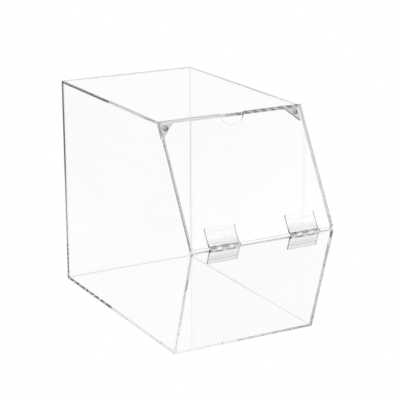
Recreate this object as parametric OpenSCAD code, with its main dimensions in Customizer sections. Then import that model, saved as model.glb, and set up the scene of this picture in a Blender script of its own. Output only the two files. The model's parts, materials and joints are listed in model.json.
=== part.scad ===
// Clear sheet display bin with a hinged sloping front: gifts go in through the front,
// which tips forward on two moulded hinges. X is the width, -Y the front, Z up.
// The origin is at the middle of the footprint, on the surface the bin stands on.

/* [Case] */
// Width over the two side panels
body_w = 175; // [140:1:210]
// Height of the side panels
body_h = 249; // [230:1:270]
// Depth of the side panels along the floor
floor_d = 282; // [260:1:300]
// Depth of the side panels along the top
top_d = 252; // [235:1:262]
// Depth of the side panels at the bend in the front
bend_d = 322; // [312:1:335]
// Height of the bend in the front
bend_h = 125; // [110:1:135]
// Thickness of the sheet
sheet_t = 3; // [2.5:0.1:4]

/* [Lid] */
// Gap between the closed lid's back face and the side panels' sloping edges
lid_gap = 0.4; // [0.3:0.05:0.8]
// Height of the lid's bottom edge over the bend, along the slope
lid_lift = 2; // [1.5:0.1:3]
// Radius of the finger notch
notch_r = 15; // [10:0.5:20]
// Height of the notch's centre over the lid's top edge
notch_rise = 2.2; // [0:0.1:4]

/* [Corner stops] */
// Length of each straight side of a corner gusset
gusset_leg = 15; // [12:0.5:20]
// Depth of a gusset's front face behind the side panels' sloping edges
gusset_recess = 2; // [1.5:0.1:3]
// Diameter of a dome bumper
bumper_d = 7; // [5:0.5:8]
// Clearance between a bumper's crown and the closed lid
bumper_gap = 0.3; // [0.2:0.05:0.4]

/* [Hinges] */
// Width of a hinge along its pin
hinge_w = 36; // [30:1:45]
// Distance of a hinge's middle from the middle of the case
hinge_x = 49; // [35:1:55]
// Number of knuckles on each hinge
knuckles = 5; // [3:2:7]
// Gap between neighbouring knuckles
knuckle_gap = 0.3; // [0.3:0.05:0.5]
// Outer radius of the knuckles
knuckle_r = 2.4; // [2.2:0.05:2.5]
// Radius of the pins
pin_r = 1.2; // [1:0.05:1.4]
// Running clearance round a pin in the lid's knuckles
pin_clear = 0.05; // [0.02:0.01:0.1]
// Height of the pins' axis over the lid's outer face
pin_proud = 2.8; // [2.7:0.05:3.2]
// Distance of the pins' axis below the bend, along the lid
pin_drop = 0.65; // [0.5:0.05:1]
// Length of a lid leaf from the pins' axis
lid_leaf_len = 23.4; // [18:0.1:28]
// Length of a case leaf from the pins' axis
case_leaf_len = 18.9; // [15:0.1:24]
// Thickness of a leaf at its free end
leaf_t = 1.2; // [1:0.05:1.5]

/* [Hidden] */
$fn = 96;

// How far the lid leans back from upright, and how far the lower front leans out
lid_lean = atan((bend_d - top_d) / (body_h - bend_h));
front_lean = atan((bend_d - floor_d) / bend_h);
slope_len = norm([bend_d - top_d, body_h - bend_h]);
inner_w = body_w - 2 * sheet_t;

// Directions in a side view, as [depth from the back, height]
lid_up = [-sin(lid_lean), cos(lid_lean)];
lid_out = [cos(lid_lean), sin(lid_lean)];
front_up = [sin(front_lean), cos(front_lean)];
front_out = [cos(front_lean), -sin(front_lean)];

// Bend of the case, bottom of the lid's outer face, top of the front panel's outer face, and pins' axis
bend = [bend_d, bend_h];
lid_foot = bend + (sheet_t + lid_gap) * lid_out;
front_top = bend + sheet_t * front_out;
pin_at = lid_foot - pin_drop * lid_up + pin_proud * lid_out;

// The same axis, seen from the front panel's outer face
pin_over_front = (pin_at - front_top) * front_out;
pin_past_front = (pin_at - front_top) * front_up;

total_d = pin_at[0] + knuckle_r;
back_y = total_d / 2;

// Dome bumper: a spherical cap on a gusset's face
bumper_h = gusset_recess + lid_gap - bumper_gap;
bumper_sphere_r = (pow(bumper_d / 2, 2) + pow(bumper_h, 2)) / (2 * bumper_h);
// Distance of a gusset's incentre from its two straight sides
gusset_in = gusset_leg * (1 - sqrt(0.5));
// Slack that lets a cutting block run past what it cuts
over = 20;

// Hinge leaf: where its plate starts, where its shoulder and its knuckles' ramps end
plate_from = knuckle_r + 0.3;
shoulder_h = 0.9;
ramp_to = 7;
pitch = hinge_w / knuckles;

// Point of a side view in the part's frame, as [y, z]
function side_view(p) = [back_y - p[0], p[1]];

// Sheet of a given width, centred on x, with its outline in the side view
module sheet(width, outline, x = 0) {
    translate([x - width / 2, 0, 0])
        rotate([90, 0, 90])
            linear_extrude(width)
                polygon([for (p = outline) side_view(p)]);
}

// Frame on the lid's outer face: y runs up the lid, z stands out of it
module on_lid() {
    translate([0, side_view(lid_foot)[0], lid_foot[1]])
        rotate([90 - lid_lean, 0, 0])
            children();
}

// Frames on the pins' axis: y runs away from the pin along a leaf, z stands out of the leaf
module at_pin_for_lid() {
    translate([0, side_view(pin_at)[0], pin_at[1]])
        rotate([90 - lid_lean, 0, 0])
            children();
}

module at_pin_for_case() {
    translate([0, side_view(pin_at)[0], pin_at[1]])
        rotate([front_lean - 90, 0, 0])
            mirror([0, 0, 1])
                children();
}

module side_panel(side) {
    sheet(sheet_t, [[0, 0], [floor_d, 0], bend, [top_d, body_h], [0, body_h]],
          side * (body_w - sheet_t) / 2);
}

module left_side_panel() {
    color("lightcyan", 0.4) side_panel(-1);
}

module right_side_panel() {
    color("lightcyan", 0.4) side_panel(1);
}

module back_panel() {
    color("azure", 0.4)
        sheet(inner_w, [[0, 0], [sheet_t, 0], [sheet_t, body_h - sheet_t], [0, body_h - sheet_t]]);
}

// The top's front edge is cut to the lid's slope
module top_panel() {
    under = body_h - sheet_t;
    color("azure", 0.4)
        sheet(inner_w, [[0, under], [top_d + sheet_t * tan(lid_lean), under], [top_d, body_h], [0, body_h]]);
}

// The base's front edge is cut to the front panel's slope
module base_panel() {
    color("azure", 0.4)
        sheet(inner_w, [[sheet_t, 0], [floor_d, 0], [floor_d + sheet_t * tan(front_lean), sheet_t],
                        [sheet_t, sheet_t]]);
}

// Glued over the side panels' front edges, with its bottom edge cut level with the floor
module front_panel() {
    color("azure", 0.4)
        sheet(body_w, [[floor_d, 0], [floor_d + sheet_t / cos(front_lean), 0], front_top, bend]);
}

// Triangle across a top corner, parallel to the lid, trimmed under the top panel
module corner_gusset(side) {
    under = body_h - sheet_t;
    face = -sheet_t - lid_gap - gusset_recess;
    face_top = (under - bend_h + gusset_recess * sin(lid_lean)) / cos(lid_lean);
    intersection() {
        on_lid()
            translate([side * inner_w / 2, face_top, face - sheet_t])
                linear_extrude(sheet_t)
                    polygon([[0, -gusset_leg], [0, over], [-side * gusset_leg, over], [-side * gusset_leg, 0]]);
        translate([-body_w / 2, -back_y, 0])
            cube([body_w, total_d, under]);
    }
}

module left_corner_gusset() {
    color("gainsboro", 0.7) corner_gusset(-1);
}

module right_corner_gusset() {
    color("gainsboro", 0.7) corner_gusset(1);
}

module dome_bumper(side) {
    face = -sheet_t - lid_gap - gusset_recess;
    face_top = (body_h - sheet_t - bend_h + gusset_recess * sin(lid_lean)) / cos(lid_lean);
    on_lid()
        translate([side * (inner_w / 2 - gusset_in), face_top - gusset_in, face])
            intersection() {
                translate([0, 0, bumper_h - bumper_sphere_r])
                    sphere(bumper_sphere_r);
                cylinder(h = bumper_h, r = bumper_d / 2);
            }
}

module left_dome_bumper() {
    color("white", 0.8) dome_bumper(-1);
}

module right_dome_bumper() {
    color("white", 0.8) dome_bumper(1);
}

module lid_panel() {
    color("aliceblue", 0.4)
        on_lid()
            difference() {
                translate([-body_w / 2, lid_lift, -sheet_t])
                    cube([body_w, slope_len - lid_lift, sheet_t]);
                translate([0, slope_len + notch_rise, -sheet_t - 1])
                    cylinder(h = sheet_t + 2, r = notch_r);
            }
}

// One knuckle with the ramp that ties it to its leaf, without its bore
module knuckle(proud) {
    w = pitch - knuckle_gap;
    translate([-w / 2, 0, 0])
        rotate([90, 0, 90]) {
            cylinder(h = w, r = knuckle_r);
            linear_extrude(w)
                polygon([[0, -knuckle_r], [plate_from, -proud], [ramp_to, -proud],
                         [ramp_to, leaf_t - proud], [0, knuckle_r]]);
        }
}

// A leaf lying on a face that is `proud` below the pin's axis, with knuckles in every other place
module hinge_leaf(length, proud, first, bore_r) {
    difference() {
        union() {
            translate([-hinge_w / 2, 0, 0])
                rotate([90, 0, 90])
                    linear_extrude(hinge_w)
                        polygon([[plate_from, -proud], [length, -proud], [length, leaf_t - proud],
                                 [ramp_to, leaf_t - proud], [plate_from + 0.5, leaf_t + shoulder_h - proud],
                                 [plate_from, leaf_t + shoulder_h - proud - 0.5]]);
            for (i = [first : 2 : knuckles - 1])
                translate([(i - (knuckles - 1) / 2) * pitch, 0, 0])
                    knuckle(proud);
        }
        translate([-hinge_w, 0, 0])
            rotate([0, 90, 0])
                cylinder(h = 2 * hinge_w, r = bore_r);
    }
}

module lid_leaf(side) {
    translate([side * hinge_x, 0, 0])
        at_pin_for_lid()
            hinge_leaf(lid_leaf_len, pin_proud, 1, pin_r + pin_clear);
}

module case_leaf(side) {
    translate([side * hinge_x, 0, 0])
        at_pin_for_case()
            hinge_leaf(case_leaf_len, pin_over_front, 0, pin_r);
}

module hinge_pin(side) {
    translate([side * hinge_x, side_view(pin_at)[0], pin_at[1]])
        rotate([0, 90, 0])
            cylinder(h = hinge_w - knuckle_gap, r = pin_r, center = true);
}

module left_hinge_case_leaf() {
    color("whitesmoke", 0.8) case_leaf(-1);
}

module left_hinge_lid_leaf() {
    color("white", 0.8) lid_leaf(-1);
}

module left_hinge_pin() {
    color("silver") hinge_pin(-1);
}

module right_hinge_case_leaf() {
    color("whitesmoke", 0.8) case_leaf(1);
}

module right_hinge_lid_leaf() {
    color("white", 0.8) lid_leaf(1);
}

module right_hinge_pin() {
    color("silver") hinge_pin(1);
}

left_side_panel();
right_side_panel();
back_panel();
top_panel();
base_panel();
front_panel();
left_corner_gusset();
right_corner_gusset();
left_dome_bumper();
right_dome_bumper();
lid_panel();
left_hinge_case_leaf();
left_hinge_lid_leaf();
left_hinge_pin();
right_hinge_case_leaf();
right_hinge_lid_leaf();
right_hinge_pin();
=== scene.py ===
"""Looks of a clear acrylic bin for gifts, built around its fixed frame: bevelled sheets, cemented seams,
a sloping lid with a finger notch, corner gussets with dome bumpers, and two moulded hinges."""

import json
import math

import bmesh
import bpy
from mathutils import Matrix, Vector


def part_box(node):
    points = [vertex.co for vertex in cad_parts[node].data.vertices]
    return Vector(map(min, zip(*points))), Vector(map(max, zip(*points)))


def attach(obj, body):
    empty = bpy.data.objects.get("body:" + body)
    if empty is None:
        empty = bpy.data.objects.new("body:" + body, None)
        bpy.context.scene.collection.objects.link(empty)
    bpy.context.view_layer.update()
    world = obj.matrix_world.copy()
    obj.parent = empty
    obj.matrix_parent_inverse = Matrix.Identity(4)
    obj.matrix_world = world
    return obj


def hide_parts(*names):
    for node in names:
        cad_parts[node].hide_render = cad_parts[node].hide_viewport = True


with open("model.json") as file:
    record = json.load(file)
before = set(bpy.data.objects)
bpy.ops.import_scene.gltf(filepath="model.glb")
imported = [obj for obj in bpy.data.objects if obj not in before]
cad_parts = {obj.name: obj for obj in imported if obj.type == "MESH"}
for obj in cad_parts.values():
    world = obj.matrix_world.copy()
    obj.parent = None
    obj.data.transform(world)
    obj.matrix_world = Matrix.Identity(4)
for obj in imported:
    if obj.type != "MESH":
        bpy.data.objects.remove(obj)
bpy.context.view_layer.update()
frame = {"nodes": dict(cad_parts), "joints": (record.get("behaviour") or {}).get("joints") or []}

MM = 0.001

# Camera: its place in metres, its turns in degrees and its lens and sensor in millimetres; yaw turns it
# to the right of the part's +Y, and pitch looks down
CAMERA_AT = (-0.7551, -1.4054, 0.5943)
CAMERA_YAW = 28.56
CAMERA_PITCH = 16.225
CAMERA_ROLL = 0.274
CAMERA_LENS = 130.4
CAMERA_SENSOR = 36

# Studio: brightness of the ceiling, the soft box and the room behind the camera, the ways to the soft box
# and to the backdrop, and the table's half width in metres and its drop under the part
CEILING = 0.12
SOFTBOX = 0.85
ROOM = 0.02
SOFTBOX_WAY = (0.3, -0.55, 0.78)
BACKDROP_WAY = (0.479, 0.878, 0.0)
TABLE_HALF = 6
TABLE_DROP = 0.2 * MM

# Faces that a ray passes before the studio counts it as lost in a sheet, and faces that it may pass at all
LOST_AFTER = 12.5
MOST_BOUNCES = 400

# Sheets: the rounding of their polished edges, how far cemented sheets run into each other, and how near to
# the front panel's inner face, in sheets, a corner counts as one that it covers
EDGE_ROUND = 0.22 * MM
WELD = 0.02 * MM
FRONT_BAND = 1.2

# Slacks: for places that are meant to be the same, for cuts along a neighbour's plane, for a face that
# touches a neighbour, and for an edge at a named corner
HAIR = 0.01 * MM
CUT_SLACK = 0.03 * MM
TOUCH_SLACK = 0.05 * MM
CORNER_SLACK = 0.1 * MM

# Steps along the notch and round a dome, a bore or a pin, and steps up a dome
ARC_STEPS = 48
DOME_STEPS = 12

# Straight lip under a bumper's dome
BUMPER_LIP = 0.35 * MM

# Lid's finger notch: its radius, and how far its centre lies over the sheet's top edge
NOTCH_R = 15 * MM
NOTCH_RISE = 2.2 * MM

# Moulded hinges: knuckles, with the arc that a knuckle's outline follows, in degrees
KNUCKLES = 5
KNUCKLE_R = 2.4 * MM
KNUCKLE_GAP = 0.3 * MM
KNUCKLE_ARC = (52, 278)
KNUCKLE_STEPS = 24

# How much shorter than the leaf a knuckle's solid is, and how far out it is shifted, so no faces coincide
KNUCKLE_SHORT = 0.6 * MM
KNUCKLE_SHIFT = 0.01 * MM

# Pin and bore, the pin's tight fit in the case's knuckles, and the rounding of its ends
PIN_R = 1.2 * MM
BORE_R = 1.25 * MM
PIN_FIT = 0.005 * MM
PIN_ROUND = 0.25 * MM

# Leaves: where they start from the pin, their thickness, the thicker pad at the end, and the chamfers
LEAF_FROM = 2.7 * MM
LEAF_T = 1.1 * MM
PAD_T = 1.35 * MM
PAD_LENGTH = 5 * MM
CHAMFER = 0.3 * MM
PAD_CHAMFER = 0.4 * MM

# Flare by which a leaf meets its barrel: its height, its clearance from the pad and from the leaf's start
FLARE = 1.5 * MM
FLARE_FROM_PAD = 1.5 * MM
FLARE_FROM_START = 0.6 * MM
FLARE_STEPS = 10

# Rounding of a leaf's sides and of its other arrises
SIDE_ROUND = 0.3 * MM
ARRIS = 0.12 * MM

# Plastic: its index, the part of the grain's noise over which a tint drifts, and the grain's detail, with
# its stretch in a sawn edge and in a moulded leaf
ACRYLIC_IOR = 1.49
GRAIN_DRIFT = (0.35, 0.65)
GRAIN_DETAIL = 3.0
SAWN = (0.2, 1, 1)
STREAKS = (0.12, 1, 1)
WHITE = (1, 1, 1, 1)

# Bubbles in cement
BUBBLE_SCALE = 260.0
BUBBLE_GREY = 0.3

# Sheets whose cement is grey, and how far painted shade greys the front panel's cement from its lower right
# corner
GREY_SEAMS = ("top_panel", "back_panel")
SEAM_SPAN = 190 * MM

# Distance from the pins over which a leaf's tint changes, as painted shade
LEAF_SPAN = 24 * MM

# Dashes of painted dark reflection in the top panel's front edge: where they set in, from the middle to the
# right and toward that edge
DASH_PITCH = 11 * MM
DASH_SLANT = 1.6
DASH_DARK = 0.12
DASH_X = (3 * MM, 10 * MM)
DASH_Y = (-80 * MM, -84 * MM)

# Painted shade on the left panel's outer face: beside its back edge, by height, and along the front part of
# its foot
BACK_SHADE = ((0.0, 0.38), (0.5, 0.2), (1.0, 0.07))
BACK_SHADE_WIDTH = (5.2 * MM, 4.8 * MM)
FOOT_SHADE = (0.76, 0.76, 0.76, 1)
FOOT_SHADE_Y = (40 * MM, 38 * MM)
FOOT_SHADE_Z = (4.1 * MM, 3.7 * MM)


# ---------------------------------------------------------------- frame readings

def side_points(node):
    """Corners of a node's mesh in the side view, as (y, z)."""
    return {(round(v.co.y, 6), round(v.co.z, 6)) for v in frame["nodes"][node].data.vertices}


def outline(node):
    """Corners of a convex sheet in the side view, in order round its middle."""
    seen = side_points(node)
    mid_y = sum(p[0] for p in seen) / len(seen)
    mid_z = sum(p[1] for p in seen) / len(seen)
    return sorted(seen, key=lambda p: math.atan2(p[1] - mid_z, p[0] - mid_y))


PIN_AT = Vector(frame["joints"][0]["pos_m"])
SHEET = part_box("base_panel")[1].z
BODY_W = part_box("front_panel")[1].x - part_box("front_panel")[0].x
BACK_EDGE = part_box("left_side_panel")[1].y
TOP_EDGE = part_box("left_side_panel")[1].z

# The lid's plane and the front panel's plane, from the side panel's five corners
side = outline("left_side_panel")
BEND = min(side)
TOP_CORNER = min((p for p in side if p[1] > BEND[1] + SHEET), key=lambda p: p[0])
FLOOR_CORNER = min((p for p in side if p[1] < SHEET), key=lambda p: p[0])
LID_LEAN = math.atan2(TOP_CORNER[0] - BEND[0], TOP_CORNER[1] - BEND[1])
FRONT_LEAN = math.atan2(FLOOR_CORNER[0] - BEND[0], BEND[1] - FLOOR_CORNER[1])

UP_LID = Vector((0, math.sin(LID_LEAN), math.cos(LID_LEAN)))
OUT_OF_LID = Vector((0, -math.cos(LID_LEAN), math.sin(LID_LEAN)))
DOWN_FRONT = Vector((0, math.sin(FRONT_LEAN), -math.cos(FRONT_LEAN)))
OUT_OF_FRONT = Vector((0, -math.cos(FRONT_LEAN), -math.sin(FRONT_LEAN)))

# Turns of a piece made flat, with its outer face up, onto the lid or onto the front panel
LID_TURN = Matrix.Rotation(math.pi / 2 - LID_LEAN, 4, "X")
FRONT_TURN = Matrix.Rotation(FRONT_LEAN - math.pi / 2, 4, "X") @ Matrix.Scale(-1, 4, (0, 0, 1))


# ---------------------------------------------------------------- mesh helpers

def merged_copy(node):
    """A CAD node's mesh with its loose triangles merged into whole flat faces."""
    bm = bmesh.new()
    bm.from_mesh(frame["nodes"][node].data)
    bmesh.ops.remove_doubles(bm, verts=bm.verts, dist=0.001 * MM)
    bmesh.ops.dissolve_limit(bm, angle_limit=math.radians(1), verts=bm.verts, edges=bm.edges)
    return bm


def drawn_out(corners, way):
    """A closed solid: a flat outline, drawn out by a vector."""
    bm = bmesh.new()
    face = bm.faces.new([bm.verts.new(corner) for corner in corners])
    drawn = bmesh.ops.extrude_face_region(bm, geom=[face])
    moved = [v for v in drawn["geom"] if isinstance(v, bmesh.types.BMVert)]
    bmesh.ops.translate(bm, verts=moved, vec=way)
    bmesh.ops.recalc_face_normals(bm, faces=bm.faces)
    return bm


def prism(points, low_x, high_x):
    """A closed solid: an outline in the side view, drawn out along x."""
    return drawn_out([(low_x, y, z) for y, z in points], (high_x - low_x, 0, 0))


def rod(radius, length):
    """A round rod along x, with its middle at the origin."""
    bm = bmesh.new()
    bmesh.ops.create_cone(bm, cap_ends=True, segments=ARC_STEPS, radius1=radius, radius2=radius,
                          depth=length, matrix=Matrix.Rotation(math.pi / 2, 4, "Y"))
    return bm


def soften(bm, width, segments=2, sharper_than=35, chosen=None):
    """Rounds the edges that turn by more than an angle, and of those only the chosen ones."""
    limit = math.radians(sharper_than)
    edges = [e for e in bm.edges if len(e.link_faces) == 2 and e.calc_face_angle(0) > limit]
    if chosen:
        edges = [e for e in edges if chosen(e)]
    bmesh.ops.bevel(bm, geom=edges, offset=width, offset_type="OFFSET", affect="EDGES", segments=segments,
                    profile=0.5, material=-1, clamp_overlap=True)


def as_object(name, bm):
    mesh = bpy.data.meshes.new(name)
    bm.to_mesh(mesh)
    bm.free()
    thing = bpy.data.objects.new(name, mesh)
    bpy.context.scene.collection.objects.link(thing)
    return thing


def combined(base, others, operation):
    """The mesh of one solid with others joined to it or cut from it."""
    thing = as_object("blank", base)
    tools = [as_object("tool", other) for other in others]
    for tool in tools:
        step = thing.modifiers.new("step", "BOOLEAN")
        step.operation = operation
        step.solver = "EXACT"
        step.object = tool
    bpy.context.view_layer.update()
    result = bmesh.new()
    result.from_object(thing, bpy.context.evaluated_depsgraph_get())
    for used in [thing, *tools]:
        bpy.data.objects.remove(used)
    bmesh.ops.remove_doubles(result, verts=result.verts, dist=0.002 * MM)
    bmesh.ops.dissolve_limit(result, angle_limit=math.radians(0.5), verts=result.verts, edges=result.edges)
    return result


def piece(name, bm, body, finishes, replaces):
    """Makes a mesh an object in place of its CAD nodes, with its curves smooth and its arrises sharp."""
    bmesh.ops.recalc_face_normals(bm, faces=bm.faces)
    limit = math.radians(30)
    for face in bm.faces:
        face.smooth = True
    for edge in bm.edges:
        edge.smooth = len(edge.link_faces) == 2 and edge.calc_face_angle(0) < limit
    made = as_object(name, bm)
    for finish in finishes:
        made.data.materials.append(finish)
    shading = made.modifiers.new("flat faces stay flat", "WEIGHTED_NORMAL")
    shading.keep_sharp = True
    shading.weight = 100
    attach(made, body)
    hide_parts(*replaces)


# ---------------------------------------------------------------- material nodes

def build(tree, kind, values=None, **settings):
    """Adds a node; each value goes to the socket of that index or name, as a number or as a link."""
    made = tree.nodes.new("ShaderNode" + kind)
    for key, value in settings.items():
        setattr(made, key, value)
    for socket, value in (values or {}).items():
        if isinstance(value, bpy.types.NodeSocket):
            tree.links.new(value, made.inputs[socket])
        else:
            made.inputs[socket].default_value = value
    return made


def reckon(tree, operation, first, second=0.0):
    return build(tree, "Math", {0: first, 1: second}, operation=operation).outputs[0]


def measure(tree, operation, first, second=(0, 0, 0)):
    """A length, distance or dot product of vectors."""
    return build(tree, "VectorMath", {0: first, 1: second}, operation=operation).outputs["Value"]


def between(tree, source, bounds, results=(0.0, 1.0)):
    """Carries a value from one pair of bounds to another, and holds it inside them."""
    low, high = bounds
    values = {0: source, 1: low, 2: high, 3: results[0], 4: results[1]}
    return build(tree, "MapRange", values).outputs[0]


def mix(tree, share, first, second, blend="MIX"):
    values = {0: share, 6: first, 7: second}
    return build(tree, "Mix", values, data_type="RGBA", blend_type=blend).outputs[2]


def product(tree, first, second):
    return mix(tree, 1.0, first, second, "MULTIPLY")


def ramp(tree, source, stops):
    """A grey for each value, eased between stops, each of them a value and its grey."""
    made = build(tree, "ValToRGB", {0: source})
    made.color_ramp.interpolation = "EASE"
    places = made.color_ramp.elements
    while len(places) < len(stops):
        places.new(1.0)
    for i, (position, grey) in enumerate(stops):
        places[i].position = position
        places[i].color = (grey, grey, grey, 1)
    return made.outputs[0]


def painted_reflection_dashes(tree, coords):
    """Painted dark reflection: slanting dark dashes along the top panel's front edge, from the notch's
    middle to the right.
    """
    x, y, z = build(tree, "SeparateXYZ", {0: coords}).outputs
    along = reckon(tree, "ADD", x, reckon(tree, "MULTIPLY", z, DASH_SLANT))
    wave = reckon(tree, "SINE", reckon(tree, "MULTIPLY", along, math.tau / DASH_PITCH))
    dash = ramp(tree, between(tree, wave, (-1.0, 1.0)), ((0.45, DASH_DARK), (0.75, 1.0)))
    share = reckon(tree, "MULTIPLY", between(tree, x, DASH_X), between(tree, y, DASH_Y))
    return mix(tree, share, WHITE, dash)


def strip(tree, source, bounds, grey):
    """Grey inside a narrow strip along one edge, and none beyond it."""
    return mix(tree, between(tree, source, bounds), WHITE, grey)


def painted_edge_shade(tree, coords):
    """Painted shade on the left panel's outer face, beside its back edge, deepest at the top, and along its
    foot.
    """
    x, y, z = build(tree, "SeparateXYZ", {0: coords}).outputs
    height = reckon(tree, "MULTIPLY", z, 1 / TOP_CORNER[1])
    back_bounds = [BACK_EDGE - width for width in BACK_SHADE_WIDTH]
    back = strip(tree, y, back_bounds, ramp(tree, height, BACK_SHADE))
    foot = strip(tree, z, FOOT_SHADE_Z, strip(tree, y, FOOT_SHADE_Y, FOOT_SHADE))
    outer = reckon(tree, "LESS_THAN", x, MM - BODY_W / 2)
    return mix(tree, outer, WHITE, product(tree, back, foot))


# ---------------------------------------------------------------- materials

def begin(name, clearness, index):
    """A new material, with its node tree, its shader and its object coordinates."""
    material = bpy.data.materials.new(name)
    material.use_nodes = True
    tree = material.node_tree
    shader = tree.nodes["Principled BSDF"]
    shader.inputs["Transmission Weight"].default_value = clearness
    shader.inputs["IOR"].default_value = index
    return material, tree, shader, build(tree, "TexCoord").outputs["Object"]


def plastic(name, tints, grain, stretch=(1, 1, 1), rough=(0.0, 0.0), clearness=1.0, away=None, stops=(),
            mesh_painted_shade=False, painted_dashes=False, edged=False):
    """Clear plastic: its tint, and its roughness too, drifts between two values with a stretched grain.

    The tint may also follow stops, as painted shade along a way from the pins or by the mesh's painted shade
    value, and may have the top panel's painted dark reflection dashes or the left panel's painted edge
    shade.
    """
    material, tree, shader, coords = begin(name, clearness, ACRYLIC_IOR)
    placed = build(tree, "Mapping", {"Vector": coords, "Scale": stretch}).outputs[0]
    drift = {"Vector": placed, "Scale": grain, "Detail": GRAIN_DETAIL}
    noise = build(tree, "TexNoise", drift).outputs["Fac"]
    tint = ramp(tree, noise, tuple(zip(GRAIN_DRIFT, tints)))
    if away:
        offset = build(tree, "VectorMath", {0: coords, 1: PIN_AT}, operation="SUBTRACT").outputs[0]
        share = reckon(tree, "MULTIPLY", measure(tree, "DOT_PRODUCT", offset, away), 1 / LEAF_SPAN)
        tint = product(tree, tint, ramp(tree, share, stops))
    if mesh_painted_shade:
        shade = build(tree, "Attribute", attribute_name="shade").outputs["Fac"]
        tint = product(tree, tint, ramp(tree, shade, stops))
    if edged:
        tint = product(tree, tint, painted_edge_shade(tree, coords))
    if painted_dashes:
        tint = product(tree, tint, painted_reflection_dashes(tree, coords))
    tree.links.new(tint, shader.inputs["Base Color"])
    if rough[1] > rough[0]:
        tree.links.new(between(tree, noise, GRAIN_DRIFT, rough), shader.inputs["Roughness"])
    else:
        shader.inputs["Roughness"].default_value = rough[0]
    return material


def cemented(name, tint, corner=None, stops=()):
    """Cement between two faces: light goes straight through, but for small bubbles and, near a given corner,
    painted shade.
    """
    material, tree, shader, coords = begin(name, 1.0, 1.0)
    shader.inputs["Roughness"].default_value = 0.0
    cells = build(tree, "TexVoronoi", {"Vector": coords, "Scale": BUBBLE_SCALE}).outputs["Distance"]
    grey = ramp(tree, cells, ((0.1, BUBBLE_GREY), (0.2, tint)))
    if corner:
        share = reckon(tree, "MULTIPLY", measure(tree, "DISTANCE", coords, corner), 1 / SEAM_SPAN)
        grey = product(tree, grey, ramp(tree, share, stops))
    tree.links.new(grey, shader.inputs["Base Color"])
    return material


clear = plastic("clear_acrylic", (0.976, 0.982), 6.0)
painted_shade_clear = plastic("shaded_clear_acrylic", (0.976, 0.982), 6.0, edged=True)
# Sawn edges are greyer than the wide faces; each panel's edge tint also holds painted shade, darkest on the
# back, side and top panels, lightest on the base, front and lid
cut_edge_grey_and_painted_shade = {
    "left_side_panel": plastic("cut_side_acrylic", (0.6, 0.68), 500.0, SAWN, (0.04, 0.12)),
    # The top panel's cut edge carries the painted dark reflection dashes
    "top_panel": plastic("cut_top_acrylic", (0.65, 0.73), 500.0, SAWN, painted_dashes=True),
    "back_panel": plastic("cut_back_acrylic", (0.58, 0.66), 500.0, SAWN),
    "base_panel": plastic("cut_base_acrylic", (0.86, 0.94), 500.0, SAWN),
    "front_panel": plastic("cut_front_acrylic", (0.9, 0.98), 500.0, SAWN),
    "lid_panel": plastic("cut_lid_acrylic", (0.88, 0.96), 500.0, SAWN),
}
cut_edge_grey_and_painted_shade["right_side_panel"] = cut_edge_grey_and_painted_shade["left_side_panel"]
sawn_nose = plastic("sawn_front_acrylic", (0.95, 1.0), 500.0, SAWN, (0.4, 0.6), clearness=0.05)
thin_cement = cemented("thin_cement", 0.97)
# The front panel's cement is darkened toward its lower right corner as painted shade
front_cement_with_painted_shade = cemented("front_cement_with_painted_shade", 0.97, (BODY_W / 2, *FLOOR_CORNER),
                        ((0.0, 0.26), (0.4, 0.7), (0.65, 0.97), (0.95, 0.99)))
grey_cement = cemented("grey_cement", 0.76)
satin = plastic("satin_acrylic", (0.62, 0.7), 220.0, rough=(0.08, 0.16))
satin_cut = plastic("satin_cut_acrylic", (0.1, 0.6), 600.0, rough=(0.02, 0.06))
# The dome's gel is darkened by the mesh's painted shade toward its lower right
gel = plastic("dome_gel", (0.85, 0.95), 500.0, stops=((0.2, 0.12), (0.6, 0.7), (0.85, 1.0)), mesh_painted_shade=True)
# The leaves' tint along the way from the pins is painted shade: a grey band near the barrel on the lid's,
# greyer farther out on the case's
lid_leaf = plastic("lid_leaf_acrylic", (0.91, 1.0), 700.0, STREAKS, (0.0, 0.02), away=UP_LID,
                   stops=((0.12, 1.0), (0.22, 0.84), (0.6, 1.0)))
case_leaf = plastic("case_leaf_acrylic", (0.94, 1.0), 700.0, STREAKS, (0.0, 0.02), away=DOWN_FRONT,
                    stops=((0.12, 1.0), (0.3, 0.88), (0.8, 0.82)))
# The leaves' side faces are nearly black and barely clear: painted shade
painted_shade_leaf_side = plastic("leaf_side_acrylic", (0.005, 0.12), 450.0, rough=(0.1, 0.3), clearness=0.15)
pin_rod = plastic("pin_acrylic", (0.96, 1.0), 300.0, rough=(0.0, 0.02))


# ---------------------------------------------------------------- sheets' faces and edges

# A sheet's finishes, in order: wide faces, cut edges, thin cement, grey cement, the front panel's top edge
WIDE, CUT, THIN, GREY, NOSE = range(5)


def holds(node, at):
    """Whether a point is inside a sheet, or as near to it as its cement."""
    low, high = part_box(node)
    if not low.x - TOUCH_SLACK < at.x < high.x + TOUCH_SLACK:
        return False
    corners = outline(node)
    for (y, z), (next_y, next_z) in zip(corners, corners[1:] + corners[:1]):
        length = math.hypot(next_y - y, next_z - z)
        turned = (next_y - y) * (at.z - z) - (next_z - z) * (at.y - y)
        if turned < -TOUCH_SLACK * length:
            return False
    return True


def planes_of(node):
    """A sheet's faces, each as a point and a normal."""
    low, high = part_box(node)
    found = [((low.x, 0, 0), (1, 0, 0)), ((high.x, 0, 0), (1, 0, 0))]
    corners = outline(node)
    for (y, z), (next_y, next_z) in zip(corners, corners[1:] + corners[:1]):
        length = math.hypot(next_y - y, next_z - z)
        found.append(((0, y, z), (0, (next_z - z) / length, (y - next_y) / length)))
    return found


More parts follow.
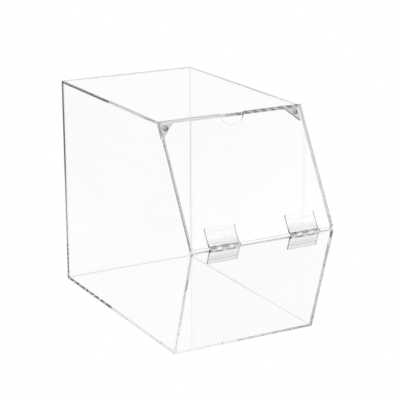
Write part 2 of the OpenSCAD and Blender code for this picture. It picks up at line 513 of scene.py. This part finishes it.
def mark_faces(bm, node, others):
    """Cuts a sheet's faces along the planes of the sheets it meets, and gives each face its finish."""
    for other in others:
        for point, normal in planes_of(other):
            bmesh.ops.bisect_plane(bm, geom=bm.verts[:] + bm.edges[:] + bm.faces[:], dist=CUT_SLACK,
                                   plane_co=point, plane_no=normal)
    spread = {}
    for face in bm.faces:
        way = tuple(round(abs(c), 2) for c in face.normal)
        spread[way] = spread.get(way, 0) + face.calc_area()
    main = Vector(max(spread, key=spread.get))
    for face in bm.faces:
        middle = face.calc_center_median()
        alike = sum(abs(abs(a) - b) for a, b in zip(face.normal, main)) < 0.02
        face.material_index = WIDE if alike else CUT
        if any(holds(other, middle) for other in others):
            face.material_index = GREY if middle.z > 2 * SHEET and node in GREY_SEAMS else THIN
        elif node == "front_panel" and face.normal.z > 0.8:
            face.material_index = NOSE


def at_corner(edge, places):
    """Whether an edge runs along x at one of these places in the side view."""
    first, last = (v.co for v in edge.verts)
    if abs(first.x - last.x) < MM:
        return False
    return any(math.hypot(first.y - y, first.z - z) < CORNER_SLACK for y, z in places)


def outside(edge):
    """Whether an edge lies on a side panel's outer face."""
    return all(abs(v.co.x) > BODY_W / 2 - HAIR for v in edge.verts)


def on_front(edge):
    """Whether an edge belongs to the front panel's outer face, or to its top's inner arris."""
    face = Vector((0, *FLOOR_CORNER)) @ OUT_OF_FRONT + SHEET
    return all(abs(v.co @ OUT_OF_FRONT - face) < HAIR for v in edge.verts) or at_corner(edge, [BEND])


# ---------------------------------------------------------------- case

def run_in(points, back=0, top=0, front=0):
    """Moves an outline's back, top or lower front edge a hair outward, into its neighbour's cement."""
    far = max(y for y, z in points)
    high = max(z for y, z in points)
    moved = []
    for y, z in points:
        front_y = FLOOR_CORNER[0] + (FLOOR_CORNER[1] - z) * math.tan(FRONT_LEAN)
        in_front = y < front_y + FRONT_BAND * SHEET and z < BEND[1] + MM
        grown_y = y + (back if y > far - HAIR else 0) - (front if in_front else 0)
        grown_z = z + (top if z > high - HAIR else 0)
        moved.append((grown_y, grown_z))
    return moved


def case_sheets():
    """Side panels, and the sheets between or over them, each run a hair into its neighbours' cement."""
    nose = min(outline("top_panel"))
    sheets = {
        "left_side_panel": ({"front": WELD}, outside),
        "right_side_panel": ({"front": WELD}, outside),
        "back_panel": ({"top": WELD}, lambda e: at_corner(e, [(BACK_EDGE, 0)])),
        "top_panel": ({}, lambda e: at_corner(e, [(BACK_EDGE, TOP_EDGE), TOP_CORNER, nose])),
        "base_panel": ({"back": WELD, "front": WELD}, lambda e: False),
        "front_panel": ({}, on_front),
    }
    for node, (sides, exposed) in sheets.items():
        low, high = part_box(node)
        grow = WELD if node in ("back_panel", "top_panel", "base_panel") else 0
        bm = prism(run_in(outline(node), **sides), low.x - grow, high.x + grow)
        soften(bm, EDGE_ROUND, chosen=exposed)
        mark_faces(bm, node, [other for other in sheets if other != node])
        seam = front_cement_with_painted_shade if node == "front_panel" else thin_cement
        # The left panel's wide faces carry painted shade beside its back edge and along its foot
        wide = painted_shade_clear if node == "left_side_panel" else clear
        finishes = (wide, cut_edge_grey_and_painted_shade[node], seam, grey_cement, sawn_nose)
        piece(node + "_sheet", bm, "case", finishes, [node])


def gussets():
    for node in ("left_corner_gusset", "right_corner_gusset"):
        bm = merged_copy(node)
        soften(bm, EDGE_ROUND)
        mark_faces(bm, node, [])
        piece(node + "_plate", bm, "case", (satin, satin_cut), [node])


def bumpers():
    """Domes with a thin straight lip, spun round the lid's normal, with painted shade toward their lower
    right.
    """
    for name in ("left", "right"):
        node = name + "_dome_bumper"
        gusset = frame["nodes"][name + "_corner_gusset"].data
        low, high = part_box(node)
        radius = (high.x - low.x) / 2
        middle = (low + high) / 2
        face = max(v.co @ OUT_OF_LID for v in gusset.vertices)
        reach = max(v.co @ OUT_OF_LID for v in frame["nodes"][node].data.vertices) - face
        ball = (radius ** 2 + (reach - BUMPER_LIP) ** 2) / (2 * (reach - BUMPER_LIP))
        sweep = math.asin(radius / ball)
        rim = [Vector((radius, 0, 0)), Vector((radius, 0, BUMPER_LIP))]
        for i in range(1, DOME_STEPS):
            a = sweep * (1 - i / DOME_STEPS)
            rim.append(Vector((ball * math.sin(a), 0, reach - ball + ball * math.cos(a))))
        bm = bmesh.new()
        line = [bm.verts.new(p) for p in [Vector((0, 0, 0)), *rim, Vector((0, 0, reach))]]
        edges = [bm.edges.new(pair) for pair in zip(line, line[1:])]
        bmesh.ops.spin(bm, geom=line + edges, cent=(0, 0, 0), axis=(0, 0, 1), angle=math.tau,
                       steps=ARC_STEPS, use_merge=True)
        bmesh.ops.remove_doubles(bm, verts=bm.verts, dist=HAIR)
        # Painted shade: a value on each vertex, high at the upper left and low at the lower right, that
        # darkens the gel's tint
        shade = bm.verts.layers.float.new("shade")
        for vert in bm.verts:
            vert[shade] = 0.5 + 0.5 * (vert.co.y * 0.7 - vert.co.x * 0.7) / radius
        at = middle - OUT_OF_LID * ((middle @ OUT_OF_LID) - face)
        bmesh.ops.transform(bm, matrix=Matrix.Translation(at) @ LID_TURN, verts=bm.verts)
        piece(node + "_dome", bm, "case", (gel,), [node])


# ---------------------------------------------------------------- lid

def lid():
    """A bevelled sheet with a half-round notch in its top edge."""
    corners = side_points("lid_panel")
    rises = [Vector((0, *p)) @ UP_LID for p in corners]
    depths = [Vector((0, *p)) @ OUT_OF_LID for p in corners]
    foot, top, back, front = min(rises), max(rises), min(depths), max(depths)
    half = BODY_W / 2
    sweep = math.acos(NOTCH_RISE / NOTCH_R)
    points = [(-half, foot), (half, foot), (half, top)]
    for i in range(ARC_STEPS + 1):
        a = sweep * (1 - 2 * i / ARC_STEPS)
        points.append((NOTCH_R * math.sin(a), top + NOTCH_RISE - NOTCH_R * math.cos(a)))
    points.append((-half, top))
    bm = drawn_out([(x, rise, back) for x, rise in points], (0, 0, front - back))
    soften(bm, EDGE_ROUND)
    bmesh.ops.transform(bm, matrix=LID_TURN, verts=bm.verts)
    mark_faces(bm, "lid_panel", [])
    piece("lid_sheet", bm, "lid", (clear, cut_edge_grey_and_painted_shade["lid_panel"]), ["lid_panel"])


# ---------------------------------------------------------------- hinges

def leaf_profile(length, proud, with_knuckle):
    """A leaf's section: y away from the pin, z out of the leaf, with the pin's axis at the origin."""
    pad_from = length - PAD_LENGTH
    points = [
        (LEAF_FROM, -proud),
        (length - CHAMFER, -proud),
        (length, CHAMFER - proud),
        (length, PAD_T - CHAMFER - proud),
        (length - PAD_CHAMFER, PAD_T - proud),
        (pad_from, PAD_T - proud),
        (pad_from - CHAMFER, LEAF_T - proud),
    ]
    flare_from = pad_from - FLARE_FROM_PAD
    reach = flare_from - (LEAF_FROM + FLARE_FROM_START)
    for i in range(FLARE_STEPS + 1):
        t = i / FLARE_STEPS
        points.append((flare_from - reach * t, LEAF_T - proud + FLARE * t ** 3))
    if with_knuckle:
        first, last = KNUCKLE_ARC
        for i in range(KNUCKLE_STEPS + 1):
            a = math.radians(first + i * (last - first) / KNUCKLE_STEPS)
            points.append((KNUCKLE_R * math.cos(a), KNUCKLE_R * math.sin(a)))
    return points


def leaf(node, body, length, proud, first, bore, turn):
    """A moulded leaf with every second knuckle, from the first one on, bored for the pin."""
    low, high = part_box(node)
    width = high.x - low.x
    pitch = width / KNUCKLES
    base = prism(leaf_profile(length, proud, False), -width / 2, width / 2)
    knuckle = leaf_profile(length - KNUCKLE_SHORT, proud - KNUCKLE_SHIFT, True)
    knuckles = []
    for i in range(first, KNUCKLES, 2):
        middle = (i - (KNUCKLES - 1) / 2) * pitch
        half = (pitch - KNUCKLE_GAP) / 2
        knuckles.append(prism(knuckle, middle - half, middle + half))
    bm = combined(combined(base, knuckles, "UNION"), [rod(bore, 2 * width)], "DIFFERENCE")
    soften(bm, SIDE_ROUND, 3, chosen=lambda e: all(abs(v.co.x) > width / 2 - HAIR for v in e.verts))
    soften(bm, ARRIS, sharper_than=50)
    # Faces on a leaf's sides, away from the barrel, take the painted shade finish
    for face in bm.faces:
        on_side = abs(face.normal.x) > 0.3 and face.calc_center_median().y > KNUCKLE_R
        face.material_index = 1 if on_side else 0
    place = Matrix.Translation(((low.x + high.x) / 2, PIN_AT.y, PIN_AT.z)) @ turn
    bmesh.ops.transform(bm, matrix=place, verts=bm.verts)
    finishes = (lid_leaf if body == "lid" else case_leaf, painted_shade_leaf_side)
    piece(node + "_moulding", bm, body, finishes, [node])


def pin(node):
    low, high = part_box(node)
    bm = rod(PIN_R, high.x - low.x)
    soften(bm, PIN_ROUND)
    bmesh.ops.translate(bm, verts=bm.verts, vec=((low.x + high.x) / 2, PIN_AT.y, PIN_AT.z))
    piece(node + "_rod", bm, "case", (pin_rod,), [node])


def hinges():
    """Each leaf lies on its sheet's outer face, at its own height under the pins' axis."""
    for side_name in ("left", "right"):
        for body, out, away, turn, first, bore in (
            ("lid", OUT_OF_LID, UP_LID, LID_TURN, 1, BORE_R),
            ("case", OUT_OF_FRONT, DOWN_FRONT, FRONT_TURN, 0, PIN_R + PIN_FIT),
        ):
            node = f"{side_name}_hinge_{body}_leaf"
            places = [v.co - PIN_AT for v in frame["nodes"][node].data.vertices]
            length = max(p @ away for p in places)
            proud = -min(p @ out for p in places if p @ away > length / 2)
            leaf(node, body, length, proud, first, bore, turn)
        pin(f"{side_name}_hinge_pin")


case_sheets()
gussets()
bumpers()
lid()
hinges()


# ---------------------------------------------------------------- studio

def lost_rays(tree):
    """One for light that has wandered through many faces, as inside a sheet, and zero for the rest."""
    depth = build(tree, "LightPath").outputs["Ray Depth"]
    return reckon(tree, "GREATER_THAN", depth, LOST_AFTER)


def studio():
    """Pale round the horizon, a soft box over the front and a dim ceiling; lost light finds a dim room."""
    world = bpy.data.worlds.new("studio")
    bpy.context.scene.world = world
    world.use_nodes = True
    tree = world.node_tree
    tree.nodes.clear()
    way = build(tree, "TexCoord").outputs["Generated"]
    up = build(tree, "SeparateXYZ", {0: way}).outputs["Z"]
    horizon = ramp(tree, up, ((0.45, 1.0), (0.65, CEILING)))
    lit = ramp(tree, measure(tree, "DOT_PRODUCT", way, SOFTBOX_WAY), ((0.72, 0.0), (0.8, SOFTBOX)))
    above = mix(tree, 1.0, horizon, lit, "ADD")
    room = ramp(tree, measure(tree, "DOT_PRODUCT", way, BACKDROP_WAY), ((0.05, ROOM), (0.5, 1.0)))
    roof = ramp(tree, up, ((0.55, 0.0), (0.75, 1.0)))
    seen = mix(tree, lost_rays(tree), above, mix(tree, 1.0, room, roof, "LIGHTEN"))
    shade = build(tree, "Background", {"Color": seen, "Strength": 1.0})
    build(tree, "OutputWorld", {"Surface": shade.outputs[0]})


def table():
    """A white table; lost light finds it dim, but for the stretch toward the backdrop."""
    bm = bmesh.new()
    bmesh.ops.create_grid(bm, x_segments=1, y_segments=1, size=TABLE_HALF)
    plane = as_object("floor", bm)
    plane.location.z = -TABLE_DROP
    material = bpy.data.materials.new("floor")
    material.use_nodes = True
    tree = material.node_tree
    tree.nodes.clear()
    coords = build(tree, "TexCoord").outputs["Object"]
    back = measure(tree, "DOT_PRODUCT", coords, BACKDROP_WAY)
    aside = reckon(tree, "SUBTRACT", measure(tree, "LENGTH", coords), back)
    dim = ramp(tree, aside, ((0.02, 1.0), (0.5, ROOM)))
    seen = mix(tree, lost_rays(tree), WHITE, dim)
    glow = build(tree, "Emission", {"Color": seen, "Strength": 1.0})
    build(tree, "OutputMaterial", {"Surface": glow.outputs[0]})
    plane.data.materials.append(material)


def camera():
    lens = bpy.data.cameras.new("camera")
    lens.lens = CAMERA_LENS
    lens.sensor_width = CAMERA_SENSOR
    lens.clip_end = 20
    eye = bpy.data.objects.new("camera", lens)
    bpy.context.scene.collection.objects.link(eye)
    turn = (Matrix.Rotation(math.radians(-CAMERA_YAW), 4, "Z")
            @ Matrix.Rotation(math.radians(90 - CAMERA_PITCH), 4, "X")
            @ Matrix.Rotation(math.radians(-CAMERA_ROLL), 4, "Z"))
    eye.matrix_world = Matrix.Translation(CAMERA_AT) @ turn
    bpy.context.scene.camera = eye


studio()
table()
camera()
scene = bpy.context.scene
scene.view_settings.view_transform = "Standard"
scene.cycles.max_bounces = MOST_BOUNCES
scene.cycles.transmission_bounces = MOST_BOUNCES
scene.cycles.glossy_bounces = MOST_BOUNCES
